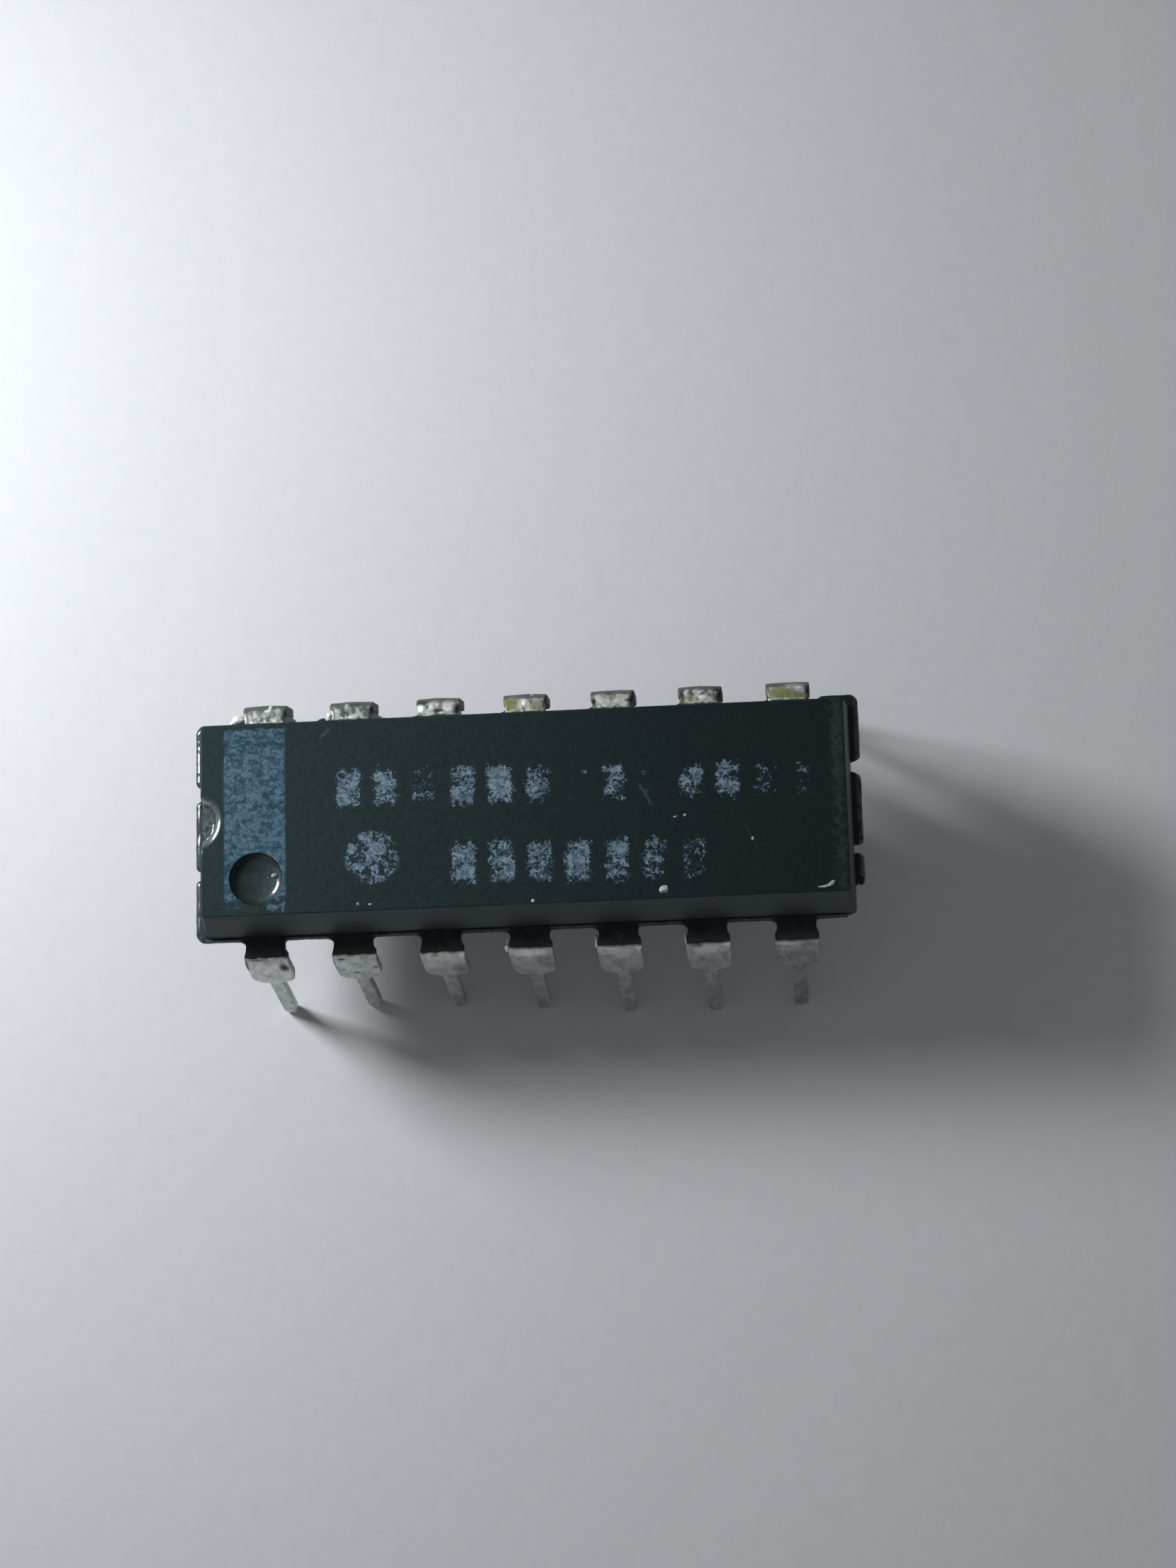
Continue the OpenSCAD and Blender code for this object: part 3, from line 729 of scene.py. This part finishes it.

# ------------------------------------------------------------------ Solder on the leads
# Each lead was dipped from its bend down and soldered into a board, then sucked clean: a dull
# tin-lead coat, thick and lumpy on the bend and at the seating shoulder, thin down the pin,
# with ragged upper edges, a few pits, and yellow flux baked on some of the back row.

# Where each coat starts and how dull it is, partly as painted shade, then its marks: (across,
# along, half width, half length, tone, height), with a tone of 1 for bright lumps and painted highlights and
# -1 for black pits and painted shade
coats = {
    1: (0.51, 0.00, [
        (0.48, 0.99, 0.15, 0.30, -1.0, -0.08), (-0.13, 1.66, 0.12, 0.12, -0.3, -0.01),
        (-0.28, 0.56, 0.22, 0.035, -0.7, -0.01), (-0.67, 0.78, 0.09, 0.28, -0.9, 0),
        (0.22, 1.45, 0.06, 0.25, -0.15, 0),
    ]),
    2: (0.51, 0.15, [
        (-0.39, 0.63, 0.13, 0.035, -0.8, -0.01), (-0.33, 1.04, 0.21, 0.27, 0.35, 0.006),
        (0.10, 1.20, 0.08, 0.10, -0.35, -0.01), (0.56, 1.25, 0.06, 0.13, -0.7, -0.01),
        (-0.07, 1.71, 0.09, 0.12, -0.55, -0.015), (-0.42, 1.40, 0.12, 0.08, -0.3, 0),
        (-0.68, 0.95, 0.07, 0.50, -0.7, 0),
    ]),
    3: (0.54, 0.14, [
        (-0.23, 0.62, 0.13, 0.035, -0.7, -0.01), (0.59, 0.64, 0.09, 0.11, 0.5, 0.012),
        (-0.15, 1.10, 0.42, 0.48, 0.22, 0.008), (0.48, 1.60, 0.30, 0.50, -0.35, 0),
    ]),
    4: (0.51, 0.20, [
        (-0.41, 1.04, 0.10, 0.11, -0.4, -0.01), (-0.72, 0.46, 0.08, 0.10, 0.9, 0.05),
        (-0.05, 0.68, 0.42, 0.16, 0.4, 0.012), (0.40, 1.20, 0.25, 0.50, -0.25, 0),
    ]),
    5: (0.55, 0.22, [
        (-0.26, 0.59, 0.18, 0.07, 0.45, 0.02), (0.60, 0.63, 0.09, 0.08, 0.45, 0.015),
        (-0.71, 0.50, 0.05, 0.15, 0.5, 0.03), (0.03, 0.95, 0.26, 0.24, 0.35, 0.012),
        (-0.38, 1.02, 0.12, 0.13, -0.35, -0.01),
    ]),
    6: (0.58, 0.25, [
        (-0.70, 0.50, 0.05, 0.17, 0.3, 0.02), (-0.08, 0.88, 0.38, 0.24, 0.45, 0.015),
        (0.56, 0.64, 0.15, 0.09, 0.45, 0.015), (-0.40, 0.63, 0.22, 0.06, -0.4, 0),
    ]),
    7: (0.60, 0.36, [
        (-0.30, 0.68, 0.30, 0.08, 0.4, 0.015), (-0.40, 0.95, 0.12, 0.15, 0.15, 0),
        (0.35, 0.75, 0.20, 0.14, -0.3, 0),
    ]),
    8: (0.13, 0.45, [
        (0.22, 0.50, 0.34, 0.13, 0.3, 0.02), (0.60, 0.38, 0.08, 0.17, -0.9, -0.02),
        (0, 0.18, 0.50, 0.04, 0.3, 0.01),
    ]),
    9: (0.13, 0.30, [
        (-0.52, 0.36, 0.08, 0.20, -0.95, -0.02), (-0.39, 0.46, 0.10, 0.10, 0.5, 0.03),
        (-0.27, 0.36, 0.09, 0.13, -0.8, -0.01), (0.10, 0.33, 0.13, 0.05, 1.0, 0.02),
        (-0.09, 0.47, 0.12, 0.08, 0.4, 0.03), (0.54, 0.42, 0.15, 0.24, -1.0, -0.03),
    ]),
    10: (0.12, 0.22, [
        (-0.55, 0.34, 0.08, 0.08, -0.95, -0.02), (-0.07, 0.49, 0.07, 0.07, -0.8, -0.02),
        (0.62, 0.40, 0.07, 0.24, -1.0, -0.03), (0.50, 0.35, 0.13, 0.04, -0.95, -0.01),
        (-0.35, 0.47, 0.20, 0.08, 0.25, 0.03), (0.10, 0.40, 0.30, 0.12, 0.12, 0.02),
    ]),
    11: (0.12, 0.22, [
        (0.01, 0.40, 0.07, 0.08, 1.0, 0.03), (0.65, 0.40, 0.07, 0.22, -0.95, -0.02),
        (0.21, 0.72, 0.05, 0.14, 0.6, 0.02), (-0.62, 0.34, 0.06, 0.10, -0.6, 0),
    ]),
    12: (0.13, 0.38, [
        (-0.50, 0.36, 0.12, 0.10, 1.0, 0.05), (-0.07, 0.43, 0.20, 0.12, 0.3, 0.04),
        (0.33, 0.38, 0.18, 0.17, 0.6, 0.04), (0.00, 0.29, 0.16, 0.035, -0.7, -0.01),
        (0.61, 0.30, 0.07, 0.11, -1.0, -0.03), (-0.45, 0.52, 0.18, 0.08, -0.8, -0.01),
    ]),
    13: (0.12, 0.48, [
        (-0.58, 0.27, 0.08, 0.13, 1.0, 0.06), (0.09, 0.24, 0.16, 0.06, 0.4, 0.03),
        (-0.12, 0.51, 0.07, 0.08, 0.5, 0.03), (-0.15, 0.35, 0.20, 0.10, -0.4, -0.01),
        (0.14, 0.50, 0.20, 0.09, -0.6, -0.01), (0.61, 0.36, 0.035, 0.15, -0.9, -0.01),
        (0.70, 0.37, 0.04, 0.15, 0.8, 0.01),
    ]),
    14: (0.10, 0.50, [
        (-0.68, 0.26, 0.17, 0.14, 1.0, 0.10), (0.17, 0.57, 0.05, 0.12, 1.0, 0.04),
        (0.10, 0.47, 0.10, 0.035, 0.9, 0.02), (-0.25, 0.34, 0.25, 0.13, 0.15, 0.02),
        (0.40, 0.46, 0.10, 0.10, 0.25, 0.03), (0.63, 0.36, 0.04, 0.15, -0.7, -0.01),
        (0.70, 0.44, 0.04, 0.14, 0.6, 0.01),
    ]),
}
# Flux left baked on: (across, along, half width, half length, how much)
flux_left = {
    5: [(0.10, 0.90, 0.35, 0.20, 0.12)],
    8: [(-0.25, 0.37, 0.38, 0.12, 1.3), (0.15, 0.28, 0.50, 0.06, 1.3)],
    9: [(-0.35, 0.28, 0.30, 0.12, 0.5)],
    10: [(0, 0.44, 0.60, 0.08, 0.3)],
    11: [(-0.44, 0.38, 0.24, 0.18, 1.4), (0.38, 0.30, 0.25, 0.14, 0.8)],
    12: [(0.1, 0.50, 0.5, 0.06, 0.3)],
}

# A slice through the strip, clockwise from the left end of its outer face: places on its core,
# from -1 to 1, and the way each faces, with two more at every corner to round it
slice_core, slice_out = [], []
for out_x, out_z, count in ((0, 1, 45), (1, 0, 7), (0, -1, 21), (-1, 0, 7)):
    for w in np.linspace(-1, 1, count):
        slice_core.append((w * out_z + out_x, out_z - w * out_x))
        slice_out.append((out_x, out_z))
    for step in (30, 60):
        slice_core.append(slice_core[-1])
        turn = math.atan2(out_z, out_x) - math.radians(step)
        slice_out.append((math.cos(turn), math.sin(turn)))
slice_core, slice_out = np.array(slice_core, float), np.array(slice_out, float)
middle = (1 - slice_core[:, 0] ** 2) * abs(slice_out[:, 1])  # 1 along the middle of each broad face
flank = 1 - 0.85 * abs(slice_out[:, 0]) ** 1.5  # the sides hold less solder
outer = (slice_core[:, 1] > -0.6).astype(float)  # marks stay off the inner face

solder = Finish("tin_lead_solder")
states = ("pit", "flux", "thin", "fresh", "dull")  # carried by the points of every coat, 0 to 1
pit, flux, thin, fresh, dull = (
    solder.node("Attribute", {"attribute_name": state}, out="Fac") for state in states
)
cloud = solder.grain(0.24, stretch=(1, 1, 2.2), detail=1)
frost = solder.grain(0.05, stretch=(1, 1, 2.5), shift=5, detail=2)
ovals = solder.grain(0.12, stretch=(1, 1, 3), shift=8, detail=0).rise(0.62, 0.76)
metal = solder.mix((0.50, 0.525, 0.505), (0.70, 0.73, 0.70), cloud.rise(0.30, 0.68))
metal = solder.mix(metal, (0.20, 0.215, 0.205), ovals * 0.35)
metal = solder.mix(metal, (0.62, 0.64, 0.62), frost.rise(0.58, 0.76) * 0.25)
behind = solder.y.rise(0, 0.1)  # the back row has stood in flux, and is greener and more matt
metal = solder.mix(metal, (0.42, 0.51, 0.46), behind * 0.4)
# The dull level paints the coat darker, partly as painted shade; the fresh level paints it pale, mostly as
# painted highlights; the pit level paints it black, partly as painted shade by the strip's edges
metal = solder.mix(metal, (0.070, 0.082, 0.082), dull)
metal = solder.mix(metal, (0.84, 0.87, 0.85), fresh)
metal = solder.mix(metal, (0.030, 0.032, 0.029), thin * 0.85)
metal = solder.mix(metal, (0.012, 0.016, 0.015), pit)
flux_on = flux * cloud.rise(0.22, 0.36)
frosted = 0.46 + behind * 0.10 + cloud * 0.08 + frost * 0.08
solder.vary(
    Base_Color=solder.mix(metal, (0.175, 0.185, 0.040), flux_on * 0.85),
    Metallic=0.9 - flux_on * 0.7 - pit * 0.5,
    Roughness=frosted + pit * 0.2 - flux_on * 0.2 - fresh * 0.12 + dull * 0.12,
    Coat_Weight=flux_on * 0.6,
    Normal=solder.bump(cloud * 0.8 + frost * 0.2, 0.014),
)


def rows_down(n, first):
    """Distances along the strip for the rings of its coat, down to the tip of the pin."""
    bend, drop = BEND_R * (math.pi / 2 - lean(n)), BEND_Z + BEND_R * math.sin(lean(n))
    tip = NECK_L + bend + drop / math.cos(lean(n))
    rows = []
    s = first
    while s < tip:
        rows.append(s)
        z = float(strip_line(n, np.array(s))[1])
        if z > 3.7:
            s += 0.018 if s < 0.85 else 0.03
        elif z > 3.0:  # closest together at the shoulder
            s += 0.014
        else:
            s += 0.02 if z < 0.3 else 0.055
    return np.array([*rows, tip])


def mark(across, along, x, s, half_x, half_s):
    """1 inside a soft-edged oval on the unrolled strip."""
    return np.exp(-(((across - x) / half_x) ** 2 + ((along - s) / half_s) ** 2) ** 2)


def thickness(n, here, s, edge, seat, pin):
    """Thickness of a coat round one slice: a lumpy film, fuller at its edge and above the seat."""
    lumps = 0.010 * wobble(here, 0.45, n + 40) + (0.005 if n < 8 else 0.003) * wobble(here, 0.17, n + 60)
    at_edge = 0.012 * np.exp(-((s - edge - 0.06) / 0.06) ** 2)
    at_seat = middle * 0.015 * math.exp(-((s - seat + 0.16) / 0.16) ** 2)
    return (0.012 + middle * 0.020 * pin + lumps + at_edge + at_seat) * flank * pin


def dullness_and_painted_shade(n, here, s, beside, pin):
    """How dull a coat is round one slice, partly as painted shade; beside is 1 at the strip's two edges."""
    amount = coats[n][1] + np.zeros(len(here))
    if n < 3:
        amount += 0.16 * (1 - pin) / 0.6
    elif n < 8:
        # painted shade: the front row from lead 3 on is painted darker lower down
        amount += np.interp(s, (0.7, 1.6), (0, 0.2))
    else:  # the back row is more broken up, and painted darker over the crest of the bend and by its edges: painted shade where the strip turns away
        crest = 0.47 + 0.07 * wobble(here * (1, 0, 0), 0.15, n + 90)
        rim = 0.86 + 0.10 * wobble(here, 0.12, n + 150)
        amount += 0.08 + 0.7 * np.clip((s - crest) / 0.05, 0, 1)
        amount += np.clip(1.6 * wobble(here, 0.13, n + 110) - 0.1, -0.2, 0.45)
        amount += 0.75 * np.clip((beside - rim) / 0.08, 0, 1) * (s > 0.2)
    return amount


# Above its edge a coat is buried in the strip; the marks stand out less on the back row
corner_r, seat_z, tip_round = 0.03, 3.22, 0.05
thinnest, buried = 0.003, 0.024
hidden_end, relief = {-1: 0.32, 1: 0.10}, {-1: 0.7, 1: 0.35}
for n in lead_numbers:
    place, side = row_place(n)
    start, _, marks = coats[n]
    rows_at = rows_down(n, start - hidden_end[side])
    y, z, turn = strip_line(n, rows_at)
    nearby = np.exp(-0.5 * ((rows_at[:, None] - rows_at) / 0.03) ** 2) * np.gradient(rows_at)
    half = (nearby @ strip_half_width(rows_at, z)) / nearby.sum(1)
    seat = float(np.interp(-seat_z, -z, rows_at))
    rings, looks = [], []
    for k, s in enumerate(rows_at):
        pin = np.interp(z[k], (2.9, 3.2), (0.4, 1))  # the film is thinner down the pin
        core_x, across = slice_core[:, 0] * (half[k] - corner_r), slice_core[:, 0] * half[k]
        here = np.column_stack([core_x, np.full(len(core_x), s), slice_core[:, 1] * 0.6])
        around = here * (1, 0, 1)
        edge = start + 0.025 * wobble(around, 0.22, n) + 0.009 * wobble(around, 0.07, n + 20)
        edge -= 0.10 * np.clip(-slice_out[:, 0], 0, 1) * (side < 0)  # it creeps up the front row's left edges
        on = np.clip((s - edge) / 0.04, 0, 1)
        on = on * on * (3 - 2 * on)
        coat = thickness(n, here, s, edge, seat, pin)
        tone, burnt = np.zeros(len(core_x)), np.zeros(len(core_x))
        for *oval, shade, height in marks:
            share = mark(across, s, *oval) * outer
            tone = np.where(share > 0.02, tone * (1 - share) + shade * share, tone)
            coat += relief[side] * height * share
        for *oval, much in flux_left.get(n, []):
            burnt += much * mark(across, s, *oval) * outer
        if side > 0 and s < 0.5:  # painted highlights on the back row, above the bend, as bright tone without any lump
            tone = np.clip(tone + np.clip(1.8 * wobble(here, 0.10, n + 130) - 0.45, 0, 0.6), -1, 1)
        coat = on * np.maximum(coat, thinnest) - buried * (1 - on)
        closing = math.sqrt(1 - max(0.0, 1 - (rows_at[-1] - s) / tip_round) ** 2) * 0.5 + 0.5
        core = slice_core * ((half[k] - corner_r) * closing, (HALF_T - corner_r) * closing)
        at = core + slice_out * (corner_r + coat)[:, None] * closing
        level = np.clip(z[k] / 0.3, 0, 1)  # the tip is cut off level
        rings.append(np.column_stack([
            LEAD_X[place] + at[:, 0],
            side * (y[k] + at[:, 1] * math.cos(turn[k])),
            np.maximum(z[k] + at[:, 1] * math.sin(turn[k]) * level, 0.0),
        ]))
        stale_and_painted_shade = np.clip(dullness_and_painted_shade(n, here, s, abs(across) / half[k], pin), 0, 0.85)
        pits_and_painted_shade, fluxed, lumps_and_painted_highlights = (np.clip(share, 0, 1) for share in (-tone, burnt, tone))
        looks.append(np.column_stack([pits_and_painted_shade, fluxed, 1 - on, lumps_and_painted_highlights, stale_and_painted_shade]))
    coat_piece = rough_piece(f"solder_coat_{n}", *loft(rings))
    for state, values in zip(states, np.concatenate(looks).T):
        layer = coat_piece.data.attributes.new(state, "FLOAT", "POINT")
        layer.data.foreach_set("value", values.astype(np.float32))
    hand_over(coat_piece, solder, crease=55)

# ------------------------------------------------------------------ Crumbs
# A few pale crumbs of old flux and a curl of fibre: dirt from the board that has settled on the
# top face and in the dimple, and clings there.

crumb_finish = Finish("old_crumbs", Roughness=0.6)
crumb_tone = crumb_finish.grain(0.05, detail=3)
crumb_finish.vary(
    Base_Color=crumb_finish.mix((0.12, 0.14, 0.145), (0.50, 0.53, 0.52), crumb_tone.rise(0.35, 0.65)),
    Normal=crumb_finish.bump(crumb_tone, 0.01),
)
crumbs = [
    (3.98, -2.55, 0.14, 0.10), (0.26, -2.72, 0.05, 0.05), (-4.71, -2.60, 0.035, 0.045),
    (-4.36, -2.62, 0.05, 0.03), (6.51, -1.18, 0.04, 0.05), (4.35, -0.46, 0.06, 0.03),
    (4.62, -0.43, 0.05, 0.04),
]


def blobs(places, lumpiness, halvings=3):
    """Points and faces of small lumps, from their centres and their half sizes."""
    points, faces = [], []
    for i, place in enumerate(places):
        blob = bmesh.new()
        bmesh.ops.create_icosphere(blob, subdivisions=halvings, radius=1)
        base = len(points)
        for vertex in blob.verts:
            swell = 1 + lumpiness * noise.noise(vertex.co * 1.4 + Vector((i * 3.7, 0, 0)))
            points.append(tuple(c + swell * v * half for c, v, half in zip(place, vertex.co, place[3:])))
        faces += [[base + v.index for v in face.verts] for face in blob.faces]
        blob.free()
    return points, faces


on_top = [(x, y, TOP, length, width, min(length, width) * 0.45) for x, y, length, width in crumbs]
in_bowl = [(-7.11, -1.64, TOP - 0.17, 0.085, 0.065, 0.055), (-7.30, -1.68, TOP - 0.21, 0.025, 0.025, 0.02)]
points, faces = blobs(on_top + in_bowl, 0.45)
fibre = [
    (8.28, -2.66, 0.012), (8.40, -2.665, 0.03), (8.52, -2.65, 0.035), (8.62, -2.61, 0.05),
    (8.70, -2.56, 0.06), (8.78, -2.50, 0.02),
]
turns = np.linspace(0, 2 * math.pi, 13)[:-1]
ring = np.column_stack([-0.4 * np.cos(turns), np.cos(turns), 0.6 * np.sin(turns)])
fibre_points, fibre_faces = loft([ring * radius + (x, y, TOP + 0.012) for x, y, radius in fibre])
faces += [[len(points) + i for i in face] for face in fibre_faces]
points += fibre_points.tolist()
hand_over(rough_piece("settled_crumbs", points, faces), crumb_finish, crease=60)

# ------------------------------------------------------------------ Beads of solder
# Tin-lead solder that ran up to the roots of five leads while they were being heated, and froze
# there in small beads against the moulding when the rest was sucked away, painted near white, partly as a
# painted highlight.

bead = Finish("solder_bead", Metallic=0.5)
bead_tone = bead.grain(0.10, detail=2)
bead.vary(
    Base_Color=bead.mix((0.70, 0.72, 0.70), (0.92, 0.94, 0.92), bead_tone),
    Roughness=0.30 + bead_tone * 0.2,
    Normal=bead.bump(bead_tone, 0.01),
)
beads = [
    (LEAD_X[0] - 0.73, 3.37, 5.13, 0.20, 0.14, 0.14), (LEAD_X[0] - 0.89, 3.32, 5.06, 0.12, 0.08, 0.09),
    (LEAD_X[1] - 0.62, 3.37, 5.14, 0.09, 0.14, 0.10), (LEAD_X[3] - 0.67, -3.63, 4.98, 0.065, 0.14, 0.13),
    (LEAD_X[3] - 0.64, -3.46, 5.08, 0.025, 0.17, 0.04), (LEAD_X[4] - 0.64, -3.58, 5.02, 0.045, 0.19, 0.09),
    (LEAD_X[5] - 0.63, -3.56, 5.03, 0.035, 0.20, 0.06),
]
hand_over(rough_piece("solder_beads", *blobs(beads, 0.3, 4)), bead, crease=60)

# ------------------------------------------------------------------ Paper, light and camera
# The part stands on a plain sheet of matt off-white paper, lit from the left and a little behind
# by one soft window-like light, with pale surroundings filling in.

paper = Finish("matt_paper", Roughness=0.9, Specular_IOR_Level=0.2)
pulp = paper.grain(0.6, detail=5, rough=0.6)
paper.vary(
    Base_Color=paper.mix((0.595, 0.62, 0.65), (0.645, 0.67, 0.70), pulp),
    Normal=paper.bump(pulp, 0.01),
)
sheet_half = 1500
corners = [(x * sheet_half, y * sheet_half, 0) for x, y in ((-1, -1), (1, -1), (1, 1), (-1, 1))]
sheet = rough_piece("paper_sheet", corners, [[0, 1, 2, 3]])
sheet.data.transform(Matrix.Scale(MM, 4))
paper.cover(sheet)

surroundings = bpy.data.worlds.new("pale_room")
bpy.context.scene.world = surroundings
surroundings.use_nodes = True
room = Recipe(surroundings.node_tree)
seen = room.node("LightPath", out="Is Camera Ray")
for way in ("Is Glossy Ray", "Is Transmission Ray"):
    seen = seen.most(room.node("LightPath", out=way))
backdrop = surroundings.node_tree.nodes["Background"]
backdrop.inputs["Color"].default_value = (0.96, 0.98, 1.0, 1)
direction = room.node("SeparateXYZ", inputs={0: room.node("TexCoord", out="Generated")}, out="Z")
walls_and_ceiling = 0.13 + direction.rise(0.75, 0.05) * 0.30  # pale walls under a dimmer ceiling
room.tree.links.new((walls_and_ceiling * (1 + seen * 0.5)).socket, backdrop.inputs["Strength"])

window = bpy.data.lights.new("window", "AREA")
window.shape, window.size, window.energy = "SQUARE", 0.018, 0.040
window_stand = bpy.data.objects.new("window", window)
bpy.context.scene.collection.objects.link(window_stand)
toward, away = Vector((-1.15, 0.57, 1.0)).normalized(), 0.062
window_stand.location = toward * away
window_stand.visible_camera = False
window_stand.rotation_euler = toward.to_track_quat("Z", "Y").to_euler()

# The camera looks down from nearly overhead, a little to the right, and is rolled
azimuth, height, roll = math.radians(15.329), math.radians(75.341), math.radians(-17.351)
back = Vector((math.sin(azimuth) * math.cos(height), -math.cos(azimuth) * math.cos(height), math.sin(height)))
right = Vector((0, 0, 1)).cross(back).normalized()
up = back.cross(right)
right, up = math.cos(roll) * right + math.sin(roll) * up, math.cos(roll) * up - math.sin(roll) * right
lens = bpy.data.cameras.new("camera")
lens.lens, lens.sensor_width, lens.clip_start, lens.clip_end = 86.526, 36, 0.01, 10
camera = bpy.data.objects.new("camera", lens)
bpy.context.scene.collection.objects.link(camera)
aim, distance = Vector((1.899, 0.6, TOP)), 106.892
station = Matrix.Translation((aim + back * distance) * MM)
camera.matrix_world = station @ Matrix((right, up, back)).transposed().to_4x4()
bpy.context.scene.camera = camera
bpy.context.scene.view_settings.view_transform = "Standard"
